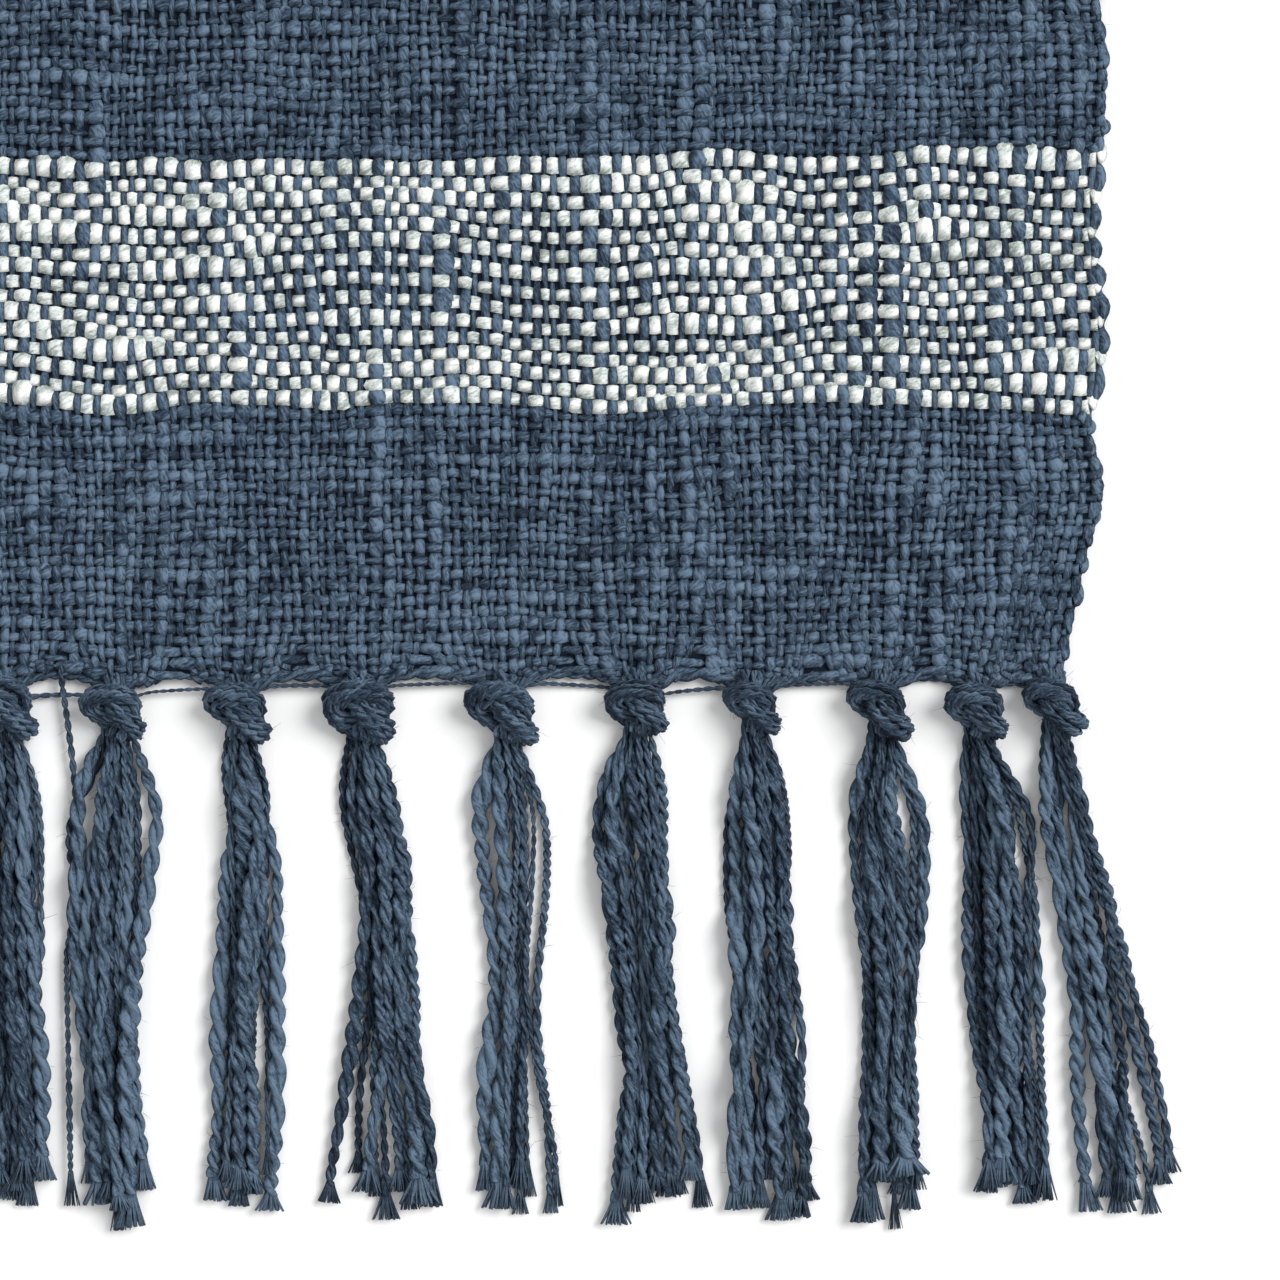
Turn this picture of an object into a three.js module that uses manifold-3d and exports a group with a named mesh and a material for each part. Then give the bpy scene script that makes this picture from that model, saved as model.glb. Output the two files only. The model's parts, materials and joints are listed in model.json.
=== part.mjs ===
// Runner rug: a thick slub-cotton plain weave with a pale stripe near each end, looped selvedges,
// a twisted cord with overhand knots across each end, and a fringe of hand-tied tassels.
// Millimetres. The origin is on the floor under the rug's centre: X across, Y along, Z up.
import * as THREE from 'three';
import Module from 'manifold-3d';
import { mergeVertices } from 'three/addons/utils/BufferGeometryUtils.js';

const wasm = await Module();
wasm.setup();

// Cloth
const clothWidth = 500; // over both selvedges
const clothLength = 1500; // woven length, without knots and tassels
const clothThickness = 4;
const selvedgeWidth = 5; // turned weft loops along each long edge
const stripeWidth = 62; // pale stripe, measured along the rug
const stripeInset = 68; // plain cloth between the stripe and the knots
const foldShare = 0.21; // each end folds in at this share of the cloth's length
const cornerDrawIn = 8; // how far the outermost knots pull a corner inwards
const cornerDrawLength = 55; // stretch of selvedge that they pull in

// Knots and the twisted cord between them
const knotWidth = 16;
const knotDepth = 13; // along the rug
const knotHeight = 11;
const cordDepth = 4; // along the rug
const cordThickness = 4;
const outerKnotInset = 12.5; // outermost knot's centre, in from the selvedge
const knotSides = 8;
const knotRings = 6;

// Tassels
const tasselLength = 116;
const throatWidth = 10; // where the yarns leave the knot
const bellyWidth = 19; // a third of the way down
const tipWidth = 15;
const tasselFlatness = 0.4; // height over width, as it lies on the floor
const tasselSides = 8;

// Clearances
const jointGap = 0.3; // between touching pieces
const tasselGap = 1.5; // between the widest parts of two neighbouring tassels

// The hand-tied tassels of one end, from one selvedge to the other: the step from the knot before,
// as a share of the row, and how far the tips lean towards the first selvedge, in millimetres.
const tiedTassels = [
  { step: 0, lean: 19 },
  { step: 19.5, lean: 9.5 },
  { step: 24, lean: 5 },
  { step: 32, lean: 6 },
  { step: 29, lean: 2 },
  { step: 33, lean: 4 },
  { step: 36, lean: 8 },
  { step: 30, lean: 2 },
  { step: 31, lean: -3 },
  { step: 28, lean: 6 },
  { step: 30, lean: 3 },
  { step: 32, lean: -2 },
  { step: 31, lean: 4 },
  { step: 33, lean: -4 },
  { step: 32, lean: 2 },
  { step: 30, lean: -6 },
  { step: 24.5, lean: -12 },
];

const denim = new THREE.MeshStandardMaterial({ color: 0x445669, roughness: 0.95, metalness: 0 });
const stripe = new THREE.MeshStandardMaterial({ color: 0x9aa2a6, roughness: 0.95, metalness: 0 });

// Places along the front end, which lies towards -Y
const halfWidth = clothWidth / 2;
const fieldHalfWidth = halfWidth - selvedgeWidth - jointGap;
const clothEnd = -clothLength / 2;
const foldLine = clothEnd + clothLength * foldShare;
const stripeEnd = clothEnd + stripeInset;
const stripeStart = stripeEnd + stripeWidth;
const drawStart = clothEnd + cornerDrawLength;
const knotRow = clothEnd - jointGap - knotDepth / 2;
const tasselRoot = knotRow - knotDepth / 2 - jointGap;

// A flat piece of cloth lying on the floor, from its outline seen from above.
function cloth(name, outline, material) {
  const shape = new THREE.Shape(outline.map(([x, y]) => new THREE.Vector2(x, y)));
  const geometry = new THREE.ExtrudeGeometry(shape, { depth: clothThickness, bevelEnabled: false });
  const mesh = new THREE.Mesh(geometry, material);
  mesh.name = name;
  return mesh;
}

// A full-width rectangle of cloth between two distances along the rug.
function field(name, from, to, material) {
  const outline = [
    [-fieldHalfWidth, from],
    [fieldHalfWidth, from],
    [fieldHalfWidth, to],
    [-fieldHalfWidth, to],
  ];
  return cloth(name, outline, material);
}

// The last stretch of cloth, whose corners are drawn in.
function drawnField(name) {
  const from = stripeEnd - jointGap;
  const outline = [
    [-fieldHalfWidth, from],
    [-fieldHalfWidth, drawStart],
    [-fieldHalfWidth + cornerDrawIn, clothEnd],
    [fieldHalfWidth - cornerDrawIn, clothEnd],
    [fieldHalfWidth, drawStart],
    [fieldHalfWidth, from],
  ];
  return cloth(name, outline, denim);
}

// The selvedge of an end panel: straight, then drawn in with the corner. side is 1 or -1.
function drawnSelvedge(name, side) {
  const inner = fieldHalfWidth + jointGap;
  const outline = [
    [inner, foldLine - jointGap / 2],
    [halfWidth, foldLine - jointGap / 2],
    [halfWidth, drawStart],
    [halfWidth - cornerDrawIn, clothEnd],
    [inner - cornerDrawIn, clothEnd],
    [inner, drawStart],
  ];
  return cloth(name, outline.map(([x, y]) => [side * x, y]), denim);
}

// The selvedge of the middle panel. side is 1 or -1.
function straightSelvedge(name, side) {
  const inner = side * (fieldHalfWidth + jointGap);
  const outer = side * halfWidth;
  const end = -foldLine - jointGap / 2;
  const outline = [
    [inner, -end],
    [outer, -end],
    [outer, end],
    [inner, end],
  ];
  return cloth(name, outline, denim);
}

function toSolid(geometry) {
  geometry.deleteAttribute('normal');
  geometry.deleteAttribute('uv');
  const merged = mergeVertices(geometry);
  const mesh = new wasm.Mesh({
    numProp: 3,
    vertProperties: new Float32Array(merged.attributes.position.array),
    triVerts: new Uint32Array(merged.index.array),
  });
  return new wasm.Manifold(mesh);
}

function toGeometry(solid) {
  const mesh = solid.getMesh();
  const geometry = new THREE.BufferGeometry();
  geometry.setAttribute('position', new THREE.BufferAttribute(mesh.vertProperties, 3));
  geometry.setIndex(new THREE.BufferAttribute(mesh.triVerts, 1));
  geometry.computeVertexNormals();
  return geometry;
}

// The centre of each knot across one end, from the first selvedge (+X) to the other.
function knotPlaces() {
  const total = tiedTassels.reduce((sum, tassel) => sum + tassel.step, 0);
  const rowWidth = clothWidth - 2 * outerKnotInset;
  let along = 0;
  return tiedTassels.map((tassel) => {
    along += tassel.step;
    return rowWidth / 2 - (rowWidth * along) / total;
  });
}

// The twisted cord across the end, with its overhand knots, as one piece.
function knotRowMesh(name, places) {
  const cordLength = clothWidth - 2 * cornerDrawIn;
  const cord = new THREE.BoxGeometry(cordLength, cordDepth, cordThickness);
  cord.translate(0, clothEnd - jointGap - cordDepth / 2, cordThickness / 2);
  let row = toSolid(cord);
  for (const x of places) {
    const knot = new THREE.SphereGeometry(0.5, knotSides, knotRings);
    knot.scale(knotWidth, knotDepth, knotHeight);
    knot.translate(x, knotRow, knotHeight / 2);
    row = row.add(toSolid(knot));
  }
  const mesh = new THREE.Mesh(toGeometry(row), denim);
  mesh.name = name;
  return mesh;
}

// The widest that a tassel can be and stay clear of its neighbours, at its root and at its tips.
function roomFor(index, places) {
  const tips = places.map((x, other) => x + tiedTassels[other].lean);
  const beside = [index - 1, index + 1].filter((other) => other >= 0 && other < places.length);
  const room = beside.map((other) => {
    const atRoot = Math.abs(places[index] - places[other]);
    const atTips = Math.abs(tips[index] - tips[other]);
    return Math.min(atRoot, atTips) - tasselGap;
  });
  return Math.min(...room);
}

// A tassel's width at each of its rings, from the knot to the tips.
function ringWidths(room) {
  const belly = Math.min(bellyWidth, room);
  const tips = Math.min(tipWidth, room);
  return [Math.min(throatWidth, room), belly, (belly + tips) / 2, tips];
}

// One tassel, lying on the floor with its root at the knot and its tips leaning sideways.
function tasselMesh(name, x, lean, room) {
  const widths = ringWidths(room);
  const rings = widths.length - 1;
  const geometry = new THREE.CylinderGeometry(0.5, 0.5, tasselLength, tasselSides, rings);
  geometry.rotateY(Math.PI / tasselSides);
  geometry.translate(0, -tasselLength / 2, 0);
  const position = geometry.attributes.position;
  for (let i = 0; i < position.count; i += 1) {
    const width = widths[Math.round((-position.getY(i) / tasselLength) * rings)];
    position.setX(i, position.getX(i) * width);
    position.setZ(i, position.getZ(i) * width * tasselFlatness);
  }
  geometry.computeVertexNormals();
  const mesh = new THREE.Mesh(geometry, denim);
  mesh.name = name;
  const underside = (Math.max(...widths) * tasselFlatness * Math.cos(Math.PI / tasselSides)) / 2;
  mesh.position.set(x, tasselRoot, underside);
  mesh.rotation.z = Math.atan2(lean, tasselLength);
  return mesh;
}

// One end of the rug, built as the front end. rightSide names the long edge at +X.
function rugEnd(end, rightSide, leftSide) {
  const group = new THREE.Group();
  group.add(field(`${end}_ground_field`, foldLine - jointGap / 2, stripeStart + jointGap, denim));
  group.add(field(`${end}_stripe_band`, stripeStart, stripeEnd, stripe));
  group.add(drawnField(`${end}_end_field`));
  group.add(drawnSelvedge(`${end}_${rightSide}_selvedge`, 1));
  group.add(drawnSelvedge(`${end}_${leftSide}_selvedge`, -1));
  const places = knotPlaces();
  group.add(knotRowMesh(`${end}_knot_row`, places));
  places.forEach((x, index) => {
    const number = String(index + 1).padStart(2, '0');
    const { lean } = tiedTassels[index];
    group.add(tasselMesh(`${end}_tassel_${number}`, x, lean, roomFor(index, places)));
  });
  return group;
}

const group = new THREE.Group();
const middleEnd = -foldLine - jointGap / 2;
group.add(field('middle_field', -middleEnd, middleEnd, denim));
group.add(straightSelvedge('middle_right_selvedge', 1));
group.add(straightSelvedge('middle_left_selvedge', -1));
group.add(rugEnd('front', 'right', 'left'));
const backEnd = rugEnd('back', 'left', 'right');
backEnd.rotation.z = Math.PI;
group.add(backEnd);

export default group;
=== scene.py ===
"""Looks for the slub-cotton runner rug: every yarn of its weave, selvedges, knots and tassels."""

import json
import math

import bpy
import numpy as np
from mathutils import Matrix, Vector

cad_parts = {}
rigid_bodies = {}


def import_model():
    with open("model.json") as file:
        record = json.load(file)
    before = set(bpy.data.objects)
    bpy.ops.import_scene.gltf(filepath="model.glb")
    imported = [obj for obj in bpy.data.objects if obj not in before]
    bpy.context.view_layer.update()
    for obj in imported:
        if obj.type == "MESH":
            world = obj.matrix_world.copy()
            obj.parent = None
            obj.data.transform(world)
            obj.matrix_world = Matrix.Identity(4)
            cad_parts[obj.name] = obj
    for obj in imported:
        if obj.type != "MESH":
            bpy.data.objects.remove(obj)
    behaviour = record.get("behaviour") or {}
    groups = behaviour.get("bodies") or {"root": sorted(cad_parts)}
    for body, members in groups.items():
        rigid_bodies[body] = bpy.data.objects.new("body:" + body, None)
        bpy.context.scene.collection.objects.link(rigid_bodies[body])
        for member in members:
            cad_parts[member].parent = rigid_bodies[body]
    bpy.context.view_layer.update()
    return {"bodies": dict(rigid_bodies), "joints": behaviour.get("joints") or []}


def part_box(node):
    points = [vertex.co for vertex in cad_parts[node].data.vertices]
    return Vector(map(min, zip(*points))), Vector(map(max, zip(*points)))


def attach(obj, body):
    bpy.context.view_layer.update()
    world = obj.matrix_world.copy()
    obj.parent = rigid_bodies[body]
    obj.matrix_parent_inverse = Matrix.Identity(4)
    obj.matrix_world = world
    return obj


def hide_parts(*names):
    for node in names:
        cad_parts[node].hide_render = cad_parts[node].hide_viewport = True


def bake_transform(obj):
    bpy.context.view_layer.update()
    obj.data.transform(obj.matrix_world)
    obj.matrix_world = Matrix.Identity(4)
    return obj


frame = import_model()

MM = 0.001
SEED = 42


# ---- sizes, in millimetres, from the frame ----


def cad_box(node):
    low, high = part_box(node)
    return np.array(low) / MM, np.array(high) / MM


def joint_place(name):
    joint = next(j for j in frame["joints"] if j["name"] == name)
    return np.array(joint["pos_m"]) / MM


TASSELS = sum(name.startswith("front_tassel_") for name in frame["bodies"])
FIELD_X = cad_box("middle_field")[1][0]
SELVEDGE_X = cad_box("middle_right_selvedge")[1][0]
CLOTH_END = cad_box("back_end_field")[1][1]
STRIPE_IN, STRIPE_OUT = (cad_box("back_stripe_band")[side][1] for side in (0, 1))
FOLD_Y = joint_place("back_fold")[1]
KNOT_X = np.array([joint_place(f"front_tassel_{k:02d}_swing")[0] for k in range(1, TASSELS + 1)])

# ---- sizes in millimetres, counts, shares and angles, read from the photograph or chosen to match it ----

WARPS = 186
END_PICKS = 22
STRIPE_PICKS = 15
GROUND_PICKS = 200
YARN_PITCH = 1.9
WARP_HALF_WIDTH = 1.22
PICK_HALF_WIDTH = 1.36
STRIPE_HALF_WIDTH = 2.0
YARN_HALF_HEIGHT = 0.90
PINCH = 0.22
WHITE_PINCH = 0.10
HEIGHT_PINCH = 0.10
CLOTH_MID = 2.1
CORNER_DRAW_IN = 9.0
CORNER_DRAW_LENGTH = 56.0
CORNER_DRAW_FROM_X = 175.0

KNOT_Y = CLOTH_END + 6.8
KNOT_MID = 5.6
KNOT_WIDTH = 11.8
KNOT_LENGTH = 2.15
KNOT_HEIGHT = 6.4
KNOT_ROPE = 2.8
KNOT_TURN = 2.3
KNOT_STRANDS = 11
KNOT_FIBRES = 160
FAN_YARNS = 8

TASSEL_LENGTH = 112.0
STRAND_HALF_WIDTHS = (0.85, 1.15, 1.55, 2.0)
STRAND_SHARES = (0.25, 0.30, 0.27, 0.18)
# Strands that lie apart from their tassel: how far in mm towards +X, and at what share of its length.
# A share of 0 is a strand that comes straight from the end cord.
STRAYS = {
    5: (14.0, 1.0),
    7: (-15.0, 1.0),
    8: (9.0, 0.3),
    9: (-11.0, 0.0),
    12: (9.0, 0.8),
    15: (-10.0, 0.9),
}

# ---- how the yarns are drawn and shared out between pieces ----

# Rings for each crossing and sides of each tube, in the part that the photograph shows and in the rest.
FINE = {"per": 4, "sides": 6}
PLAIN = {"per": 2, "sides": 4}
NEAR_WARP = 80
NEAR_PICKS = 54
NEAR_TASSEL_X = -40.0
NEAR_CUTS = (NEAR_WARP, 133, WARPS)
LEFT_CUTS = (0, 40, NEAR_WARP)
BACK_CUTS = (0, 47, 94, 140, WARPS)
# How far to each side of a fold line the fold reaches: a piece that reaches into it gets no body.
FOLD_REACH = 7.0
MIDDLE_END = FOLD_Y - 10


# ---- noise ----


def unit(vectors):
    return vectors / np.maximum(np.linalg.norm(vectors, axis=-1, keepdims=True), 1e-9)


def smooth(field, sigma, axis):
    """Gaussian blur along one axis."""
    reach = int(3 * sigma) + 1
    taps = np.exp(-0.5 * (np.arange(-reach, reach + 1) / sigma) ** 2)
    taps /= taps.sum()
    pad = [(reach, reach) if a == axis else (0, 0) for a in range(field.ndim)]
    padded = np.pad(field, pad, mode="reflect" if field.shape[axis] > reach else "edge")
    size = field.shape[axis]
    return sum(t * np.take(padded, range(k, k + size), axis=axis) for k, t in enumerate(taps))


def soft_noise(rng, shape, *sigmas):
    """Smooth noise with a spread of about 1; one sigma for each of the last axes."""
    field = rng.standard_normal(shape)
    for axis, sigma in enumerate(sigmas, len(shape) - len(sigmas)):
        field = smooth(field, sigma, axis)
    return field / np.sqrt((field**2).mean())


def slubs(rng, yarns, steps, per_step, reach, size):
    """Thick places along each yarn: how much thicker it is there, as a share."""
    count = int(yarns * steps * per_step)
    yarn = rng.integers(0, yarns, count)[:, None]
    centre = rng.uniform(0, steps, count)[:, None]
    length = rng.uniform(*reach, count)[:, None]
    height = rng.uniform(*size, count)[:, None]
    window = np.arange(-3 * math.ceil(reach[1]), 3 * math.ceil(reach[1]) + 1)
    place = np.clip(np.round(centre).astype(int) + window, 0, steps - 1)
    bulge = np.zeros((yarns, steps))
    np.maximum.at(bulge, (yarn, place), height * np.exp(-0.5 * ((place - centre) / length) ** 2))
    return bulge


# ---- objects ----


def added(name, data):
    """Puts a mesh, lamp or camera into the scene as an object."""
    obj = bpy.data.objects.new(name, data)
    bpy.context.scene.collection.objects.link(obj)
    return obj


# ---- yarns as tubes ----


def level_frame(path):
    """Sideways and upward directions for yarns that lie more or less flat."""
    along = unit(np.gradient(path, axis=1))
    across = unit(np.cross([0.0, 0.0, 1.0], along))
    return across, np.cross(along, across)


def carried_frame(path):
    """Directions carried along the path without twist, for yarns that turn every way."""
    along = unit(np.gradient(path, axis=1))
    across = np.empty_like(path)
    start = np.cross(along[:, 0], [0.3, 0.1, 1.0])
    for ring in range(path.shape[1]):
        start = start - (start * along[:, ring]).sum(-1, keepdims=True) * along[:, ring]
        start = unit(start)
        across[:, ring] = start
    return across, np.cross(along, across)


class Tubes:
    """Collects yarns and makes one mesh of them, with the yarn's own coordinates for the material."""

    def __init__(self):
        self.points = []
        self.quads = []
        self.coords = []
        self.tones = []
        self.slots = []
        self.count = 0

    def add(self, path, width, height, tone, sides, directions=None, slot=0):
        """path is tubes x rings x 3. width and height are the section's half sizes at each ring."""
        across, up = directions or level_frame(path)
        tubes, rings = path.shape[:2]
        width = np.broadcast_to(width, (tubes, rings))[:, :, None, None]
        height = np.broadcast_to(height, (tubes, rings))[:, :, None, None]
        tone = np.broadcast_to(tone, (tubes, rings))
        angle = 2 * np.pi * np.arange(sides) / sides - np.pi / 2
        wide = across[:, :, None] * (width * np.cos(angle)[:, None])
        high = up[:, :, None] * (height * np.sin(angle)[:, None])
        self.points.append((path[:, :, None] + wide + high).reshape(-1, 3))
        self.tones.append(np.repeat(tone, sides))

        steps = np.linalg.norm(np.diff(path, axis=1), axis=2)
        length = np.concatenate([np.zeros((tubes, 1)), steps.cumsum(1)], 1) / 10
        length += 3.7 * np.arange(tubes)[:, None]
        tube = np.arange(tubes)[:, None, None]
        ring = np.arange(rings - 1)[None, :, None]
        side = np.arange(sides)[None, None, :]
        base = self.count + (tube * rings + ring) * sides
        after = (side + 1) % sides
        corners = [base + side, base + after, base + after + sides, base + side + sides]
        self.quads.append(np.stack(np.broadcast_arrays(*corners), -1).reshape(-1, 4))
        u0, u1 = length[:, :-1, None], length[:, 1:, None]
        v0, v1 = side / sides, (side + 1) / sides
        us = np.stack(np.broadcast_arrays(u0, u0 + 0 * v1, u1 + 0 * v1, u1), -1)
        vs = np.stack(np.broadcast_arrays(v0 + 0 * u0, v1, v1, v0), -1)
        self.coords.append(np.stack(np.broadcast_arrays(us, vs), -1).reshape(-1, 2))
        walls = tubes * (rings - 1) * sides
        caps = self._caps(tubes, rings, sides, length)
        self.slots.append(np.full(walls + caps, slot))
        self.count += tubes * rings * sides

    def _caps(self, tubes, rings, sides, length):
        first = self.count + np.arange(tubes) * rings * sides
        last = first + (rings - 1) * sides
        made = 0
        for start, order, u in ((first, (0, 3, 2, 1), length[:, 0]), (last, (0, 1, 2, 3), length[:, -1])):
            for k in range(1, sides - 2, 2):
                fan = np.array([0, k, k + 1, k + 2])[list(order)]
                self.quads.append(start[:, None] + fan)
                around = np.broadcast_to(fan / sides, (tubes, 4))
                spots = np.stack([np.repeat(u[:, None], 4, 1), around], -1)
                self.coords.append(spots.reshape(-1, 2))
                made += tubes
        return made

    def build(self, name, *materials):
        points = (np.concatenate(self.points) * MM).astype(np.float32)
        quads = np.concatenate(self.quads).astype(np.int32)
        mesh = bpy.data.meshes.new(name)
        mesh.vertices.add(len(points))
        mesh.vertices.foreach_set("co", points.ravel())
        mesh.loops.add(quads.size)
        mesh.loops.foreach_set("vertex_index", quads.ravel())
        mesh.polygons.add(len(quads))
        mesh.polygons.foreach_set("loop_start", np.arange(0, quads.size, 4, dtype=np.int32))
        mesh.polygons.foreach_set("use_smooth", np.ones(len(quads), bool))
        mesh.polygons.foreach_set("material_index", np.concatenate(self.slots).astype(np.int32))
        yarn = mesh.uv_layers.new(name="Yarn", do_init=False)
        yarn.uv.foreach_set("vector", np.concatenate(self.coords).astype(np.float32).ravel())
        tone = mesh.attributes.new("tone", "FLOAT", "POINT")
        tone.data.foreach_set("value", np.concatenate(self.tones).astype(np.float32))
        mesh.update(calc_edges=True)
        for material in materials:
            mesh.materials.append(material)
        return added(name, mesh)


def two_ply(tubes, path, radius, pitch, phase, tone, sides, directions=None, slot=0):
    """A strand of two plies laid round each other, S-twisted. All arrays are strands x rings."""
    across, up = directions or level_frame(path)
    steps = np.linalg.norm(np.diff(path, axis=1), axis=2)
    turn = np.concatenate([np.zeros((len(path), 1)), (steps / pitch[:, 1:]).cumsum(1)], 1)
    for ply in (0, 0.5):
        angle = phase - 2 * np.pi * (turn + ply)
        centre = path + (across * np.cos(angle)[..., None] + up * np.sin(angle)[..., None]) * (
            0.47 * radius[..., None]
        )
        size = 0.59 * radius
        tubes.add(centre, size, size, tone, sides, directions=(across, up), slot=slot)


def fuzz(tubes, rng, anchors, out, tone, reach=(0.5, 1.9)):
    """Loose fibres that stand off a yarn: anchors are points on it, out the way each leaves it."""
    count = len(anchors)
    share = np.linspace(0, 1, 5)[None, :, None]
    length = rng.uniform(*reach, (count, 1, 1))
    way = unit(out + 0.5 * rng.standard_normal((count, 3)))[:, None]
    bend = rng.standard_normal((count, 1, 3)) * 0.7
    path = anchors[:, None] + length * (way * share + bend * share**2)
    path[..., 2] = np.maximum(path[..., 2], 0.05)
    thick = 0.045 * (1 - 0.6 * share[..., 0])
    tubes.add(path, thick, thick, tone, 4, directions=carried_frame(path))


# ---- materials ----


class Surface:
    """A new material with the principled shader, and short ways to add nodes to it."""

    def __init__(self, name, **shader_values):
        self.material = bpy.data.materials.new(name)
        self.material.use_nodes = True
        self.tree = self.material.node_tree
        self.shader = self.tree.nodes["Principled BSDF"]
        for key, value in shader_values.items():
            self.shader.inputs[key.replace("_", " ")].default_value = value

    def node(self, kind, **values):
        made = self.tree.nodes.new(kind)
        for key, value in values.items():
            if key in made.inputs:
                made.inputs[key].default_value = value
            else:
                setattr(made, key, value)
        return made

    def link(self, source, target):
        self.tree.links.new(source, target)

    def maths(self, operation, a, b):
        made = self.node("ShaderNodeMath", operation=operation)
        for socket, value in zip(made.inputs, (a, b)):
            if isinstance(value, bpy.types.NodeSocket):
                self.link(value, socket)
            else:
                socket.default_value = value
        return made.outputs[0]

    def scaled_sum(self, *parts):
        """Adds up pairs of a value and its weight."""
        total = None
        for value, weight in parts:
            part = self.maths("MULTIPLY", value, weight)
            total = part if total is None else self.maths("ADD", total, part)
        return total

    def noise(self, place, **values):
        made = self.node("ShaderNodeTexNoise", **values)
        self.link(place, made.inputs["Vector"])
        return made.outputs[0]

    def ramp(self, value, *stops):
        """A colour for a value, from stops of a position and a colour."""
        made = self.node("ShaderNodeValToRGB")
        elements = made.color_ramp.elements
        elements.remove(elements[1])
        for k, (position, colour) in enumerate(stops):
            element = elements[0] if k == 0 else elements.new(position)
            element.position = position
            element.color = (*colour, 1)
        self.link(value, made.inputs[0])
        return made.outputs[0]

    def object_place(self):
        return self.node("ShaderNodeTexCoord").outputs["Object"]


def cotton(name, shades, fleck_from, groove):
    """Cotton yarn: fibres laid along it, uneven dyeing, painted shade in the ply grooves, painted light on
    each yarn's top and bottom with painted shade on its sides, a few coloured flecks and a soft sheen.
    """
    yarn = Surface(name, Roughness=0.86, Specular_IOR_Level=0.18, Sheen_Weight=0.14, Sheen_Roughness=0.45)
    yarn.shader.inputs["Sheen Tint"].default_value = (*shades[2], 1)
    place = yarn.object_place()
    split = yarn.node("ShaderNodeSeparateXYZ")
    yarn.link(yarn.node("ShaderNodeUVMap", uv_map="Yarn").outputs[0], split.inputs[0])
    along, around = split.outputs[0], split.outputs[1]
    tone = yarn.node("ShaderNodeAttribute", attribute_name="tone").outputs["Fac"]
    fibres = laid_fibres(yarn, along, around, tone)
    # The helical ply crests and grooves: real relief through the bump, and painted shade in the grooves
    # through the colour.
    ply_line = ply_crests_and_side_shade(yarn, yarn.maths("ADD", around, yarn.maths("MULTIPLY", along, 0.6)))

    # Colour value: dyeing, fibres and tone, plus painted shade in the ply grooves, and painted light on
    # each yarn's top and bottom with painted shade on its sides.
    dye_and_shade = yarn.scaled_sum(
        (fibres, 1.5),
        # Painted shade in the ply grooves; the same line also drives the bump.
        (ply_line, 0.3 * groove**2 + 0.04),
        # Painted light on each yarn's top and bottom, painted shade on its sides.
        (ply_crests_and_side_shade(yarn, around), 0.12),
        (yarn.noise(place, Scale=160.0, Detail=3.0), 0.7),
        (tone, 0.6),
    )
    dyed_and_shaded = yarn.ramp(yarn.maths("SUBTRACT", dye_and_shade, 0.88), *zip((0.22, 0.5, 0.8), shades))
    yarn.link(flecked(yarn, place, dyed_and_shaded, fleck_from), yarn.shader.inputs["Base Color"])

    bump = yarn.node("ShaderNodeBump", Strength=1.0, Distance=0.0007)
    yarn.link(yarn.maths("ADD", yarn.maths("MULTIPLY", ply_line, groove), fibres), bump.inputs["Height"])
    yarn.link(bump.outputs[0], yarn.shader.inputs["Normal"])
    return yarn.material


def laid_fibres(yarn, along, around, tone):
    """Fine streaks that wind round the yarn on a slant."""
    place = yarn.node("ShaderNodeCombineXYZ")
    yarn.link(yarn.maths("MULTIPLY", along, 5.0), place.inputs[0])
    yarn.link(yarn.scaled_sum((around, 9.0), (along, 5.0)), place.inputs[1])
    yarn.link(yarn.maths("MULTIPLY", tone, 9.0), place.inputs[2])
    return yarn.noise(place.outputs[0], Scale=1.6, Detail=4.0, Roughness=0.65)


def ply_crests_and_side_shade(yarn, turn):
    """A wave with two highs and two lows for each whole turn round the yarn. Along the ply line it gives
    the ply crests and grooves; straight round the yarn it gives painted light on top and bottom and
    painted shade on the sides.
    """
    return yarn.maths("COSINE", yarn.maths("MULTIPLY", turn, 12.566), 0.0)


def flecked(yarn, place, dyed_and_shaded, fleck_from):
    """The yarn's colour, its dyeing with painted shade and light, with a few red and straw flecks, where a
    fine noise passes fleck_from.
    """
    red, straw = (0.20, 0.035, 0.03), (0.34, 0.20, 0.07)
    hue = yarn.noise(place, Scale=60.0, Detail=0.0)
    is_fleck = yarn.maths("GREATER_THAN", yarn.noise(place, Scale=900.0, Detail=1.0), fleck_from)
    mix = yarn.node("ShaderNodeMix", data_type="RGBA")
    yarn.link(yarn.maths("MULTIPLY", is_fleck, 0.7), mix.inputs["Factor"])
    yarn.link(dyed_and_shaded, mix.inputs["A"])
    yarn.link(yarn.ramp(hue, (0.42, red), (0.58, straw)), mix.inputs["B"])
    return mix.outputs["Result"]


def painted_shade_surface():
    """Painted shade: a near-black material for the sheet inside the weave, seen only as the dark between
    yarns.
    """
    shade_layer = Surface("painted_shade_core", Roughness=0.95, Specular_IOR_Level=0.05)
    noise = shade_layer.noise(shade_layer.object_place(), Scale=700.0)
    shade = shade_layer.ramp(noise, (0.0, (0.004, 0.006, 0.011)), (1.0, (0.012, 0.018, 0.030)))
    shade_layer.link(shade, shade_layer.shader.inputs["Base Color"])
    return shade_layer.material


# Colours for the yarn's shade, its usual tone and its light.
DENIM = ((0.008, 0.014, 0.027), (0.044, 0.072, 0.112), (0.135, 0.200, 0.282))
OFF_WHITE = ((0.31, 0.35, 0.32), (0.66, 0.72, 0.70), (0.96, 0.96, 0.92))
BLUE = cotton("denim_cotton_yarn", DENIM, fleck_from=0.79, groove=0.35)
WHITE = cotton("off_white_cotton_yarn", OFF_WHITE, fleck_from=0.80, groove=0.6)
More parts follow.
